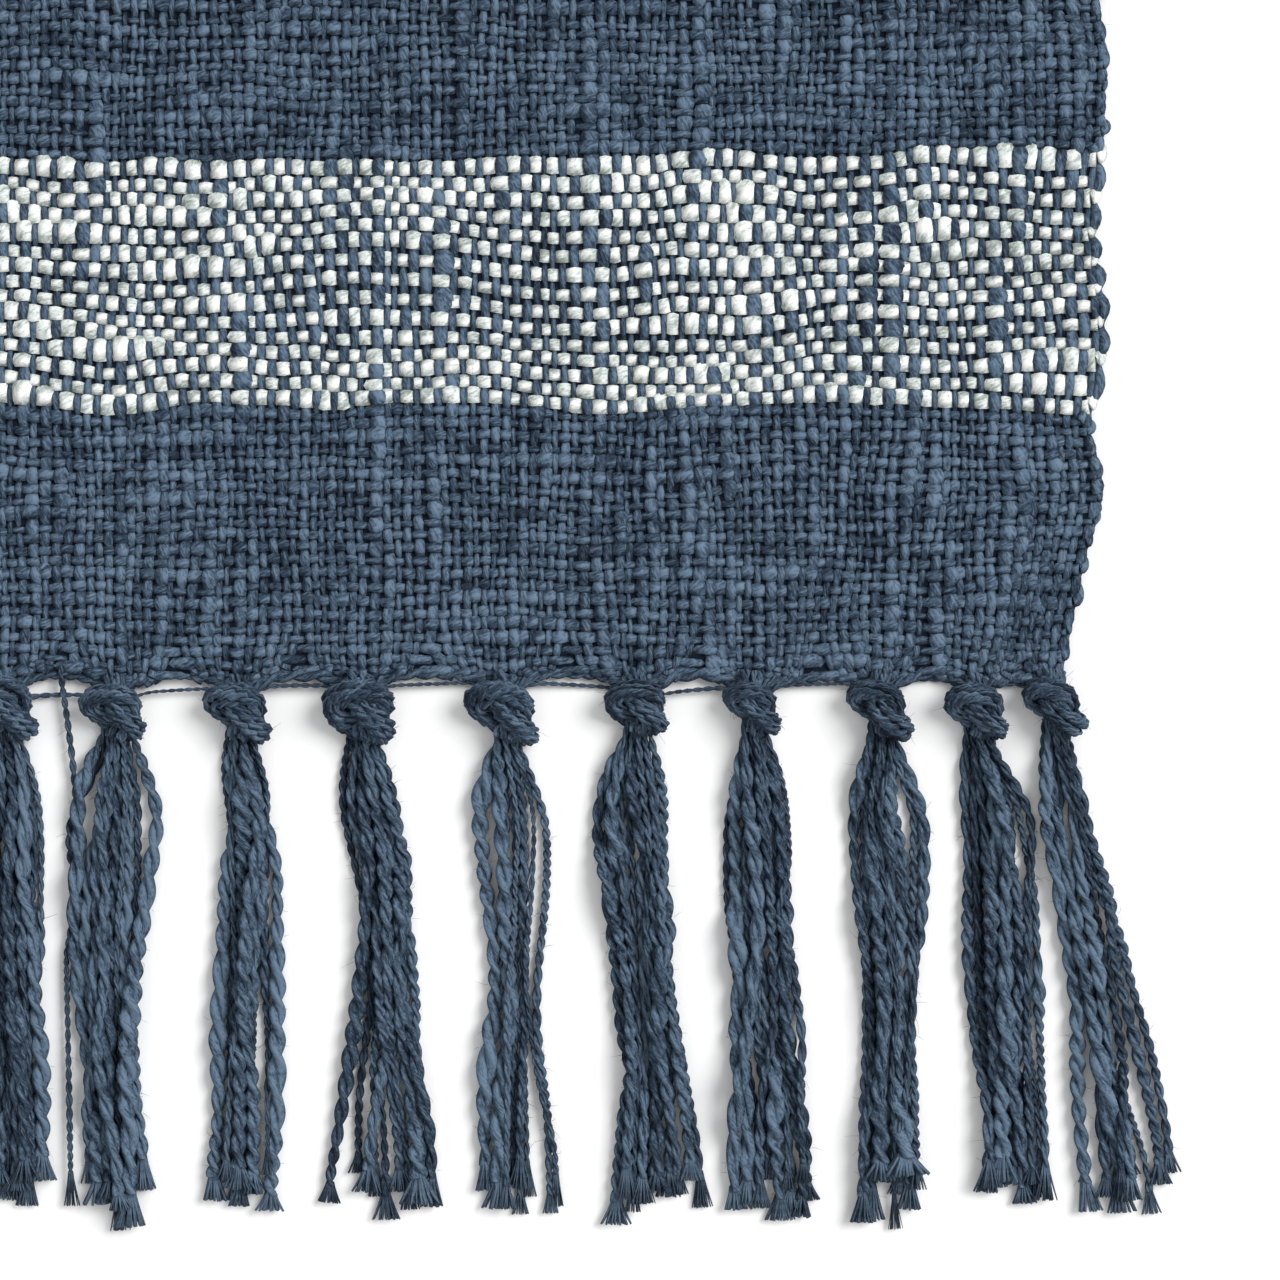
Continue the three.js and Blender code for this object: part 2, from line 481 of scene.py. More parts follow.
# Near-black for the sheets inside the weave: painted shade between the yarns.
PAINTED_SHADE = painted_shade_surface()


# ---- the weave ----


def nominal_rows():
    """Where each pick lies before the yarns push each other about, and which picks are white."""
    ends = np.linspace(CLOTH_END - 1.4, STRIPE_OUT + 1.6, END_PICKS)
    stripe = STRIPE_OUT - (np.arange(STRIPE_PICKS) + 0.5) * (STRIPE_OUT - STRIPE_IN) / STRIPE_PICKS
    ground = np.linspace(STRIPE_IN - 1.7, 1.55, GROUND_PICKS)
    half = np.concatenate([ends, stripe, ground])
    white = np.zeros(len(half), bool)
    white[END_PICKS : END_PICKS + STRIPE_PICKS] = True
    return np.concatenate([-half, half[::-1]]), np.concatenate([white, white[::-1]])


def local_push(share, axis, pitch, spread):
    """How far thick yarns push their neighbours: the running sum of thickness, without its slow part."""
    excess = share - share.mean(axis, keepdims=True)
    pushed = excess.cumsum(axis) * pitch
    return pushed - smooth(pushed, spread, axis)


def knots_of_end(sign):
    """Knot places on the end towards sign * Y."""
    return -sign * KNOT_X


def nearest_knot(x, knots):
    return knots[np.abs(x[..., None] - knots).argmin(-1)]


def draw_to_knots(x, y, sign):
    """The last picks sag towards the knots, and the warps lean to them."""
    into_end = np.clip(1 - (CLOTH_END - sign * y) / 16, 0, 1.2) ** 2
    into_end[sign * y < 0] = 0
    knot = nearest_knot(x, knots_of_end(sign))
    off = knot - x
    sag = 2.6 * np.exp(-((off / 6.5) ** 2)) - 1.5
    return x + 0.22 * into_end * off, y + sign * into_end * sag


def draw_in_corners(x, y):
    """The cloth narrows towards the last knot at each corner."""
    into_corner = np.clip(1 - (CLOTH_END - np.abs(y)) / CORNER_DRAW_LENGTH, 0, 1.05) ** 2
    outward = np.clip((np.abs(x) - CORNER_DRAW_FROM_X) / (FIELD_X - CORNER_DRAW_FROM_X), 0, 1.1) ** 1.5
    return x - np.sign(x) * CORNER_DRAW_IN * into_corner * outward


def make_weave():
    """Crossing by crossing (warps x picks): places, half sizes and heights of warp and weft."""
    rng = np.random.default_rng(SEED)
    rows, white = nominal_rows()
    warp, weft = yarn_shares(rng, white)
    stripe = smooth(np.repeat(white[None].astype(float), 2, 0), 1.5, 1)[:1]
    x, y = crossings(rng, rows, warp, weft, stripe)
    warp_is_over = np.add.outer(np.arange(WARPS), np.arange(len(rows))) % 2 == 0
    over = warp_is_over * 2.0 - 1
    warp_height = YARN_HALF_HEIGHT * warp**0.5
    weft_height = YARN_HALF_HEIGHT * (weft * (1 + 0.1 * stripe)) ** 0.5
    lift = 0.48 * (warp_height + weft_height)
    pick_width = PICK_HALF_WIDTH + (STRIPE_HALF_WIDTH - PICK_HALF_WIDTH) * white[None]
    warp_width = WARP_HALF_WIDTH * warp ** (1 + 0.3 * stripe) * (1 - 0.07 * stripe)
    return {
        "x": x,
        "y": y,
        "white": white,
        "warp_z": CLOTH_MID + over * lift,
        "weft_z": CLOTH_MID - over * lift,
        "warp_width": np.maximum(warp_width, 0.88 * stripe),
        "weft_width": pick_width * np.maximum(weft, 0.84 * white) ** 0.9,
        "warp_height": warp_height,
        "weft_height": weft_height,
        "warp_tone": yarn_tone(rng, warp),
        "weft_tone": yarn_tone(rng, weft.T).T,
    }


def yarn_shares(rng, white):
    """How thick each warp and each pick is at each crossing, as a share of the usual."""
    picks = len(white)
    warp = 1 + 0.16 * rng.standard_normal((WARPS, 1)) + 0.15 * soft_noise(rng, (WARPS, picks), 1.5)
    warp += slubs(rng, WARPS, picks, 0.026, (0.6, 5.0), (0.4, 1.2))
    own = (0.10 + 0.05 * white[:, None]) * rng.standard_normal((picks, 1))
    weft = 1 + own + 0.16 * soft_noise(rng, (picks, WARPS), 1.4)
    weft += slubs(rng, picks, WARPS, 0.024, (0.6, 5.0), (0.35, 1.0))
    return np.clip(warp, 0.62, 2.2), np.clip(weft.T, 0.62, 2.0)


def crossings(rng, rows, warp, weft, stripe):
    """Where the yarns cross: pushed apart by thick yarns, wavy, and drawn in at the edges and ends."""
    shape = warp.shape
    x = np.linspace(-FIELD_X - 1.2, FIELD_X + 1.2, WARPS)[:, None] + np.zeros(shape)
    x += local_push(smooth(warp, 1.2, 1), 0, YARN_PITCH, 7)
    x += 0.45 * soft_noise(rng, shape, 3, 9)
    y = rows[None] + local_push(smooth(weft, 1.2, 0), 1, YARN_PITCH, 5)
    y += (0.55 + 0.75 * stripe) * soft_noise(rng, shape, 6, 2.5) + 0.15 * rng.standard_normal(shape)
    edge = 0.9 * soft_noise(rng, (2, len(rows)), 2.5)
    outer = np.clip(np.abs(x) / FIELD_X, 0, 1.05) ** 14
    x += np.where(x > 0, edge[:1], -edge[1:]) * outer
    x = draw_in_corners(x, y)
    for sign in (-1, 1):
        x, y = draw_to_knots(x, y, sign)
    return x, y


def yarn_tone(rng, share):
    """How light the yarn's dyeing is: a little for each yarn, along it, and where it is thick."""
    own = 0.06 * rng.standard_normal((len(share), 1))
    return np.clip(0.47 + own + 0.09 * soft_noise(rng, share.shape, 1.5) + 0.08 * (share - 1), 0, 1)


def refine(values, per, ease=False):
    """Values at the crossings and at even places between them, along the last axis."""
    share = np.arange(per) / per
    if ease:
        share = 0.5 - 0.5 * np.cos(np.pi * share)
        share = 0.35 * (share**2 * (3 - 2 * share)) + 0.65 * share
    first, second = values[..., :-1, None], values[..., 1:, None]
    fine = first + (second - first) * share
    return np.concatenate([fine.reshape(*values.shape[:-1], -1), values[..., -1:]], -1)


def squeezed(values, per, depth):
    """As refine, but narrower midway between crossings, where the neighbours pinch the yarn."""
    fine = refine(values, per)
    between = np.sin(np.pi * np.arange(fine.shape[-1]) / per) ** 2
    return fine * (1 - depth * between)


def warp_tubes(tubes, weave, warps, picks, per, sides):
    part = np.s_[warps[0] : warps[1], picks[0] : picks[1] + 1]
    path = [refine(weave[key][part], per, key == "warp_z") for key in ("x", "y", "warp_z")]
    tubes.add(
        np.stack(path, -1),
        squeezed(weave["warp_width"][part], per, PINCH),
        squeezed(weave["warp_height"][part], per, HEIGHT_PINCH),
        refine(weave["warp_tone"][part], per),
        sides,
    )


def weft_tubes(tubes, weave, picks, warps, per, sides):
    part = np.s_[warps[0] : warps[1] + 1, picks[0] : picks[1]]
    path = [refine(weave[key][part].T, per, key == "weft_z") for key in ("x", "y", "weft_z")]
    pinch = WHITE_PINCH if weave["white"][picks[0]] else PINCH
    tubes.add(
        np.stack(path, -1),
        squeezed(weave["weft_width"][part].T, per, pinch),
        squeezed(weave["weft_height"][part].T, per, HEIGHT_PINCH),
        refine(weave["weft_tone"][part].T, per),
        sides,
    )


def settle(obj, sign, y_range, replaced=()):
    """Gives a yarn piece its body; a piece that reaches across its end's fold gets no body, only its
    transform applied.
    """
    panel = "front_panel" if sign < 0 else "back_panel"
    low, high = y_range
    if high <= FOLD_Y - FOLD_REACH:
        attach(obj, "middle_panel")
    elif low >= FOLD_Y + FOLD_REACH:
        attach(obj, panel)
    else:
        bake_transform(obj)
    if replaced:
        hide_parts(*replaced)


def pick_span(sign, low, high):
    """The picks whose usual place is low to high millimetres from the middle, towards sign * Y."""
    rows = nominal_rows()[0] * sign
    inside = np.flatnonzero((rows >= low) & (rows < high))
    return int(inside[0]), int(inside[-1]) + 1


def near_parts(picks):
    """Splits some picks of the front end into the fine part in the photograph and the plain rest."""
    near = (picks[0], min(picks[1], NEAR_PICKS))
    parts = [
        ("_right", near, (NEAR_WARP, WARPS - 1), FINE),
        ("_left", near, (0, NEAR_WARP), PLAIN),
    ]
    if picks[1] > NEAR_PICKS:
        parts.append(("_inner", (NEAR_PICKS, picks[1]), (0, WARPS - 1), PLAIN))
    return parts


def weft_pieces(weave):
    """The picks, as one piece for each stretch of cloth."""
    made = []
    edges = {
        "end": (STRIPE_OUT, CLOTH_END),
        "stripe": (STRIPE_IN, STRIPE_OUT),
        "ground": (MIDDLE_END, STRIPE_IN),
        "middle_1": (MIDDLE_END * 2 / 3, MIDDLE_END),
        "middle_2": (MIDDLE_END / 3, MIDDLE_END * 2 / 3),
        "middle_3": (0, MIDDLE_END / 3),
    }
    nodes = {"end": "end_field", "stripe": "stripe_band", "ground": "ground_field"}
    for sign, end in ((-1, "front"), (1, "back")):
        for place, (low, high) in edges.items():
            picks = pick_span(sign, low, high)
            replaced = [f"{end}_{nodes[place]}"] if place in nodes else ["middle_field"]
            material = WHITE if place == "stripe" else BLUE
            photographed = end == "front" and place in nodes
            parts = near_parts(picks) if photographed else [("", picks, (0, WARPS - 1), PLAIN)]
            for suffix, span, warps, detail in parts:
                tubes = Tubes()
                weft_tubes(tubes, weave, span, warps, **detail)
                obj = tubes.build(f"{end}_{place}_weft{suffix}", material)
                reach = np.abs(nominal_rows()[0][[span[0], span[1] - 1]])
                settle(obj, sign, (reach.min(), reach.max()), replaced)
                made.append(obj)
    return made


def warp_spans(name, sign, cuts, picks, detail):
    """Warp pieces side by side, each from one cut to the next."""
    return [(f"{name}_{k}", sign, warps, picks, detail) for k, warps in enumerate(zip(cuts, cuts[1:]), 1)]


def warp_pieces(weave):
    """The warps of each end, side by side in pieces of about 50, with their tails at the cloth's ends."""
    made = []
    picks = weave["x"].shape[1]
    half = picks // 2
    spans = warp_spans("front_warp_near", -1, NEAR_CUTS, (0, NEAR_PICKS), FINE)
    spans += warp_spans("front_warp_left", -1, LEFT_CUTS, (0, half), PLAIN)
    spans += warp_spans("front_warp_inner", -1, NEAR_CUTS, (NEAR_PICKS, half), PLAIN)
    spans += warp_spans("back_warp", 1, BACK_CUTS, (half, picks - 1), PLAIN)
    rows = nominal_rows()[0]
    for name, sign, warps, span, detail in spans:
        tubes = Tubes()
        warp_tubes(tubes, weave, warps, span, **detail)
        if span[0] == 0:
            warp_tails(tubes, weave, warps, -1, detail["sides"])
        if span[1] == picks - 1:
            warp_tails(tubes, weave, warps, 1, detail["sides"])
        if detail is FINE:
            weave_fuzz(tubes, weave, warps, span)
        obj = tubes.build(name, BLUE)
        reach = np.sort(np.abs(rows[[span[0], span[1]]]))
        settle(obj, sign, reach)
        made.append(obj)
    return made


def weave_fuzz(tubes, weave, warps, span):
    """Loose fibres over the cloth's upper face, on the warps that show there."""
    rng = np.random.default_rng(SEED + warps[0])
    fibres = 1800
    warp = rng.integers(*warps, fibres)
    pick = rng.integers(*span, fibres)
    top = weave["warp_z"][warp, pick] > CLOTH_MID
    warp, pick = warp[top], pick[top]
    height = weave["warp_z"][warp, pick] + 0.9 * weave["warp_height"][warp, pick]
    anchors = np.stack([weave["x"][warp, pick], weave["y"][warp, pick], height], -1)
    out = unit(rng.standard_normal((len(warp), 3)) * [1, 1, 0.15] + [0, 0, 0.12])
    fuzz(tubes, rng, anchors, out, 0.75, (0.8, 3.0))


def warp_tails(tubes, weave, warps, sign, sides):
    """Each warp turns down past the last pick and in under the end cord, towards its knot."""
    last = 0 if sign < 0 else -1
    x = weave["x"][warps[0] : warps[1], last]
    y = weave["y"][warps[0] : warps[1], last]
    z = weave["warp_z"][warps[0] : warps[1], last]
    knot = nearest_knot(x, knots_of_end(sign))
    share = np.linspace(0, 1, 6)
    lean = np.clip((knot - x) * 0.25, -1.6, 1.6)
    path = np.stack(
        [
            x[:, None] + lean[:, None] * share**2,
            y[:, None] + sign * 1.7 * share,
            z[:, None] + (CLOTH_MID - 0.3 - z[:, None]) * share,
        ],
        -1,
    )
    width = weave["warp_width"][warps[0] : warps[1], last][:, None] * (1 - 0.15 * share)
    tone = weave["warp_tone"][warps[0] : warps[1], last][:, None]
    tubes.add(path, width, 0.8 * width, tone, sides)


# ---- selvedges ----


def selvedge_pieces(weave):
    """Along each edge the weft turns round the outermost warp, from one pick to the next."""
    rng = np.random.default_rng(SEED + 1)
    made = []
    half = len(weave["white"]) // 2
    for side, sign_x in (("right", 1), ("left", -1)):
        last = WARPS - 1 if sign_x > 0 else 0
        first_pick = 0 if sign_x > 0 else 1
        for end, sign, low, high in (("front", -1, 0, half), ("back", 1, half, 2 * half)):
            first = np.arange(low + (low + first_pick) % 2, high - 1, 2)
            tubes = Tubes()
            loops(tubes, weave, rng, last, sign_x, first)
            carried_yarn(tubes, weave, last, sign_x, low, high)
            obj = tubes.build(f"{end}_{side}_selvedge_yarn", BLUE, WHITE)
            settle(obj, sign, (0, CLOTH_END), [f"{end}_{side}_selvedge", f"middle_{side}_selvedge"])
            made.append(obj)
    return made


def loops(tubes, weave, rng, last, sign_x, first):
    """The weft's turns from each pick in first to the next one, round the warp called last."""
    angle = np.linspace(-np.pi / 2, np.pi / 2, 9)
    for white in (False, True):
        chosen = first[weave["white"][first] == white]
        if not len(chosen):
            continue
        x = (weave["x"][last, chosen] + weave["x"][last, chosen + 1]) / 2
        y0, y1 = weave["y"][last, chosen], weave["y"][last, chosen + 1]
        z0, z1 = weave["weft_z"][last, chosen], weave["weft_z"][last, chosen + 1]
        bulge = rng.uniform(0.3, 1.5, len(chosen)) * (0.8 if white else 1)
        turn = (1 + np.sin(angle)) / 2
        path = np.stack(
            [
                x[:, None] + sign_x * bulge[:, None] * np.cos(angle) ** 0.8,
                (y0 + (y1 - y0) * turn[:, None]).T,
                (z0 + (z1 - z0) * turn[:, None]).T,
            ],
            -1,
        )
        width = weave["weft_width"][last, chosen][:, None] * (0.8 + 0.1 * np.cos(angle))
        if white:
            width = width * 0.8
        tone = weave["weft_tone"][last, chosen][:, None]
        tubes.add(path, width, 0.95 + 0 * width, tone, 6, slot=int(white))


def carried_yarn(tubes, weave, last, sign_x, low, high):
    """The blue yarn waits along the edge while the white picks are woven, looping over them."""
    stripe = np.flatnonzero(weave["white"][low:high]) + low
    picks = np.arange(stripe[0] - 1, stripe[-1] + 2)
    steps = np.arange(0, len(picks) - 0.75, 0.25)
    y = np.interp(steps, np.arange(len(picks)), weave["y"][last, picks])
    x = np.interp(steps, np.arange(len(picks)), weave["x"][last, picks])
    out = np.clip(np.minimum(steps, steps[-1] - steps) / 1.5, 0, 1)
    path = np.stack(
        [
            x + sign_x * (out * (3.2 + 0.5 * np.cos(np.pi * steps)) - 1.8),
            y,
            CLOTH_MID + 0.3 + 1.2 * np.cos(np.pi * steps),
        ],
        -1,
    )[None]
    width = (1.25 + 0.25 * np.cos(np.pi * steps))[None]
    tubes.add(path, width, 0.9 * width, 0.5, 6)


# ---- painted shade sheet ----


def painted_shade_sheet(weave, sign):
    """A thin closed near-black sheet at the middle of the weave: painted shade that shows as the dark
    between yarns. The yarns stand on it.
    """
    end = "front" if sign < 0 else "back"
    rows = np.concatenate(
        [
            np.linspace(0, FOLD_Y - 9, 60),
            np.linspace(FOLD_Y - 8, FOLD_Y + 8, 25),
            np.linspace(FOLD_Y + 10, CLOTH_END - 1.6, 44),
        ]
    )
    columns = np.linspace(-1, 1, 41)
    x, y = np.meshgrid(columns, sign * rows)
    for side, last in ((-1, 0), (1, WARPS - 1)):
        edge = np.abs(np.interp(y, np.maximum.accumulate(weave["y"][last]), weave["x"][last]))
        x = np.where(columns * side > 0, x * edge, x)
    half_thickness = 0.15
    faces = [np.full_like(x, CLOTH_MID + side * half_thickness) for side in (1, -1)]
    points = np.concatenate([np.stack([x, y, z], -1).reshape(-1, 3) for z in faces])
    wide, long = len(columns), len(rows)
    cell = (np.arange(long - 1)[:, None] * wide + np.arange(wide - 1)).ravel()
    top = np.stack([cell, cell + 1, cell + wide + 1, cell + wide], 1)
    if sign < 0:
        top = top[:, ::-1]
    bottom = top[:, ::-1] + wide * long
    rim = rim_quads(wide, long, sign)
    quads = np.concatenate([top, bottom, rim])
    mesh = bpy.data.meshes.new(f"{end}_painted_shade_core")
    mesh.from_pydata((points * MM).tolist(), [], quads.tolist())
    mesh.validate()
    mesh.materials.append(PAINTED_SHADE)
    obj = added(mesh.name, mesh)
    settle(obj, sign, (0, CLOTH_END))
    return obj


def rim_quads(wide, long, sign):
    """Faces that close the sheet's four edges."""
    bottom_row = np.arange(wide)
    top_row = bottom_row + (long - 1) * wide
    left, right = np.arange(long) * wide, np.arange(long) * wide + wide - 1
    loop = np.concatenate([bottom_row, right[1:], top_row[::-1][1:], left[::-1][1:]])
    quads = np.stack([loop[:-1], loop[:-1] + wide * long, loop[1:] + wide * long, loop[1:]], 1)
    return quads if sign < 0 else quads[:, ::-1]


# ---- knots and end cord ----


def tied_line(points, length):
    """A rope's centreline in a loose overhand knot, with its ends on the X axis."""
    t = np.linspace(-2.15, 2.15, points * 4)
    line = np.stack([t**3 - 3 * t, t**4 - 4 * t**2, 0.2 * (t**5 - 10 * t)], 1)
    reach = line[-1] - line[0]
    turn = math.atan2(reach[2], reach[0])
    c, s = math.cos(turn), math.sin(turn)
    line = line @ np.array([[c, 0, -s], [0, 1, 0], [s, 0, c]])
    line -= line[0] * [0, 1, 0]
    return evened(line, points) * (length / path_length(evened(line, points)))


def path_length(line):
    return np.linalg.norm(np.diff(line, axis=0), axis=1).sum()


def evened(line, points):
    """The same line with evenly spaced points."""
    along = np.concatenate([[0], np.linalg.norm(np.diff(line, axis=0), axis=1).cumsum()])
    places = np.linspace(0, along[-1], points)
    return np.stack([np.interp(places, along, line[:, k]) for k in range(3)], 1)


def pulled_tight(radius=3.0, points=84, rounds=202):
    """Simulates pulling the knot tight: a rope that keeps its length and can't pass through itself."""
    length = 40 * radius
    line = tied_line(points, length)
    step = length / (points - 1)
    first, second = np.triu_indices(points, math.ceil(math.pi * radius / step * 0.85))
    free = np.ones((points, 1))
    free[[0, -1]] = 0
    for number in range(rounds):
        room = radius * min(1.0, 0.4 + number / 80)
        if number > 50:
            line[0, 0] -= 0.03 * radius
            line[-1, 0] += 0.03 * radius
        for _ in range(10):
            gap = line[second] - line[first]
            apart = np.linalg.norm(gap, axis=1)
            near = apart < 2 * room
            push = gap[near] / apart[near, None] * (2 * room - apart[near])[:, None] * 0.3
            move = np.zeros_like(line)
            np.add.at(move, first[near], -push)
            np.add.at(move, second[near], push)
            line += np.clip(move, -0.2 * room, 0.2 * room) * free
            line[1:-1] += 0.1 * ((line[:-2] + line[2:]) / 2 - line[1:-1])
            keep_length(line, step, free)
    return line


def keep_length(line, step, free):
    """Draws the rope's points back to one step from each other."""
    for odd in (0, 1, 0, 1, 0, 1):
        a = np.arange(odd, len(line) - 1, 2)
        gap = line[a + 1] - line[a]
        change = gap * (1 - step / np.linalg.norm(gap, axis=1, keepdims=True))
        share = free[a] / (free[a] + free[a + 1])
        line[a] += change * share
        line[a + 1] -= change * (1 - share)


def knot_shape():
    """The tight knot with its rope running along Y, centred, in units of the rope's half width."""
    line = evened(pulled_tight(), 90)
    line = smooth(line, 1.5, 0)
    line = line[(line[:, 0] > -8.0) & (line[:, 0] < 12.5)]
    lump = line[np.abs(line[:, 0]) < 9]
    line = line - (lump.max(0) + lump.min(0)) / 2
    return line[::-1, [1, 0, 2]] * [1, -1, 1] / 3.0


def turned_about_y(line, angle):
    """Rolls a line about the Y axis."""
    c, s = math.cos(angle), math.sin(angle)
    return np.stack([c * line[:, 0] + s * line[:, 2], line[:, 1], -s * line[:, 0] + c * line[:, 2]], 1)


def knot_strands(tubes, line, rng, strands, radius, photographed):
    """Strands laid side by side along the knot's rope, the outer ones in a ring."""
    across, up = (d[0] for d in carried_frame(line[None]))
    outer = strands - 3
    angle = np.concatenate([np.arange(outer) * 2 * np.pi / outer, np.arange(3) * 2 * np.pi / 3])
    reach = np.concatenate([np.full(outer, 1.0), np.full(3, 0.38)])
    wander = 0.22 * soft_noise(rng, (strands, len(line)), 6)
    reach = reach[:, None] * radius * (0.68 + 0.07 * soft_noise(rng, (strands, len(line)), 8))
    twist = angle[:, None] + wander + np.linspace(0, 1.6, len(line))
    path = line + across * (reach * np.cos(twist))[..., None] + up * (reach * np.sin(twist))[..., None]
    own = rng.choice([0.32, 0.38, 0.46], (strands, 1))
    width = radius * own * (1 + 0.14 * soft_noise(rng, (strands, len(line)), 4))
    path[..., 2] = np.maximum(path[..., 2], width)
    tone = 0.48 + 0.10 * rng.standard_normal((strands, 1))
    if photographed:
        pitch = 6.0 + 0 * width
        phase = rng.uniform(0, 6, (strands, 1))
        two_ply(tubes, path, 1.05 * width, pitch, phase, tone, 6, carried_frame(path))
    else:
        tubes.add(path, width, width, tone, 4, directions=carried_frame(path))


def laid_knot(shape, rng, x, sign):
    """One knot in its place on an end of the rug, turned and sized by chance, and its size."""
    line = turned_about_y(shape, rng.uniform(-0.45, 0.45) + KNOT_TURN)
    size = rng.uniform(0.88, 1.14)
    span = line.max(0) - line.min(0)
    line = line * [KNOT_WIDTH * size / span[0], KNOT_LENGTH * size, KNOT_HEIGHT / span[2]]
    share = np.linspace(0, 1, len(line))[:, None]
    leaving = np.clip((share - 0.84) / 0.16, 0, 1) ** 0.8
    entering = np.clip((0.12 - share) / 0.12, 0, 1)
    line = line + leaving * ([0.0, 7.4, -0.8] - line)
    line = line + entering * ([0.0, -8.5, -2.5] - line)
    line = smooth(line, 1.5, 0)
    shift = rng.uniform(-0.8, 0.8)
    y = sign * (KNOT_Y + line[:, 1] + shift)
    return np.stack([x - sign * line[:, 0], y, KNOT_MID + line[:, 2]], 1), size


def knot_row(sign, shape, part, cord_knots, knots):
    """Some knots of one end, as one piece with the twisted end cord that runs past cord_knots."""
    rng = np.random.default_rng([SEED, part, sign + 1])
    end = "front" if sign < 0 else "back"
    photographed = end == "front" and part < 3
    tubes = Tubes()
    end_cord(tubes, rng, sign, cord_knots)
    for x in knots:
        line, size = laid_knot(shape, rng, x, sign)
        knot_strands(tubes, line, rng, KNOT_STRANDS, KNOT_ROPE * size, photographed)
        fan(tubes, rng, x, sign)
        spots = rng.integers(0, len(line), KNOT_FIBRES)
        out = unit(rng.standard_normal((KNOT_FIBRES, 3)) * [1, 0.7, 0.8])
        fuzz(tubes, rng, line[spots] + out * 2.4 * size, out, 0.6)
    obj = tubes.build(f"{end}_knots_{part}", BLUE)
    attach(obj, f"{end}_panel")
    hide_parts(f"{end}_knot_row")
    return obj


def end_cord(tubes, rng, sign, knots):
    """Warp ends that run sideways into the knots, twisted into a cord, and a thin strand beside it."""
    x = np.arange(knots.min(), knots.max(), 0.9)
    gap = np.abs(nearest_knot(x, knots) - x)
    y = CLOTH_END - 0.9 + 4.0 * np.exp(-((gap / 6) ** 2)) + 0.5 * soft_noise(rng, x.shape, 10)
    z = 2.2 + 0.5 * soft_noise(rng, x.shape, 14)
    path = np.stack([x, sign * y, z], 1)[None]
    radius = np.clip(1.35 + 0.35 * soft_noise(rng, (1, len(x)), 12), 0.8, 2.1)
    two_ply(tubes, path, radius, 6.5 * radius, 0.0, 0.42, 8)
    loose = CLOTH_END + 1.6 + 1.1 * soft_noise(rng, x.shape, 22) + 2.5 * np.exp(-((gap / 5) ** 2))
    path = np.stack([x, sign * loose, z - 0.5], 1)[None]
    radius = np.clip(0.72 + 0.15 * soft_noise(rng, (1, len(x)), 9), 0.45, 1.1)
    two_ply(tubes, path, radius, 8 * radius, 1.0, 0.5, 6)


def fan(tubes, rng, x, sign):
    """Warp ends that gather into the top of a knot."""
    count = FAN_YARNS
    corner = SELVEDGE_X - CORNER_DRAW_IN - 2
    start = np.linspace(-9, 9, count) + rng.uniform(-0.7, 0.7, count)
    start = np.clip(x + start, -corner, corner) - x
    into = rng.uniform(-2.2, 2.2, count)
    share = np.linspace(0, 1, 12)
    ease = share**2 * (3 - 2 * share)
    path = np.stack(
        [
            x + start[:, None] + (into - start)[:, None] * ease**0.8,
            sign * (CLOTH_END - 0.5 + (KNOT_Y - 2.5 - CLOTH_END) * share**1.6) + 0 * start[:, None],
            2.0 + 3.0 * ease + rng.uniform(-0.6, 0.9, count)[:, None],
        ],
        -1,
    )
    radius = rng.uniform(0.75, 1.1, count)[:, None] + 0 * share
    two_ply(tubes, path, radius, 5.5 * radius, rng.uniform(0, 6, (count, 1)), 0.4, 6)


# ---- tassels ----


def packed(x, z, radius, rounds=60):
    """Simulates how a tassel's strands lie: all along them they push apart and settle on the floor."""
    first, second = np.triu_indices(x.shape[0], 1)
    meant = x.copy()
    for _ in range(rounds):
        dx, dz = x[second] - x[first], z[second] - z[first]
        apart = np.hypot(dx, dz) + 1e-6
        need = (radius[first] + radius[second]) * 0.96
        push = np.clip(need - apart, 0, None) * 0.16 / apart
        for values, gap in ((x, dx), (z, dz)):
            move = np.zeros_like(values)
            np.add.at(move, first, -push * gap)
            np.add.at(move, second, push * gap)
            values += np.clip(smooth(move, 1.5, 1), -0.2, 0.2)
        x += 0.06 * (meant - x)
        z -= 0.05
        z[:] = np.maximum(z, radius)
    return x, z


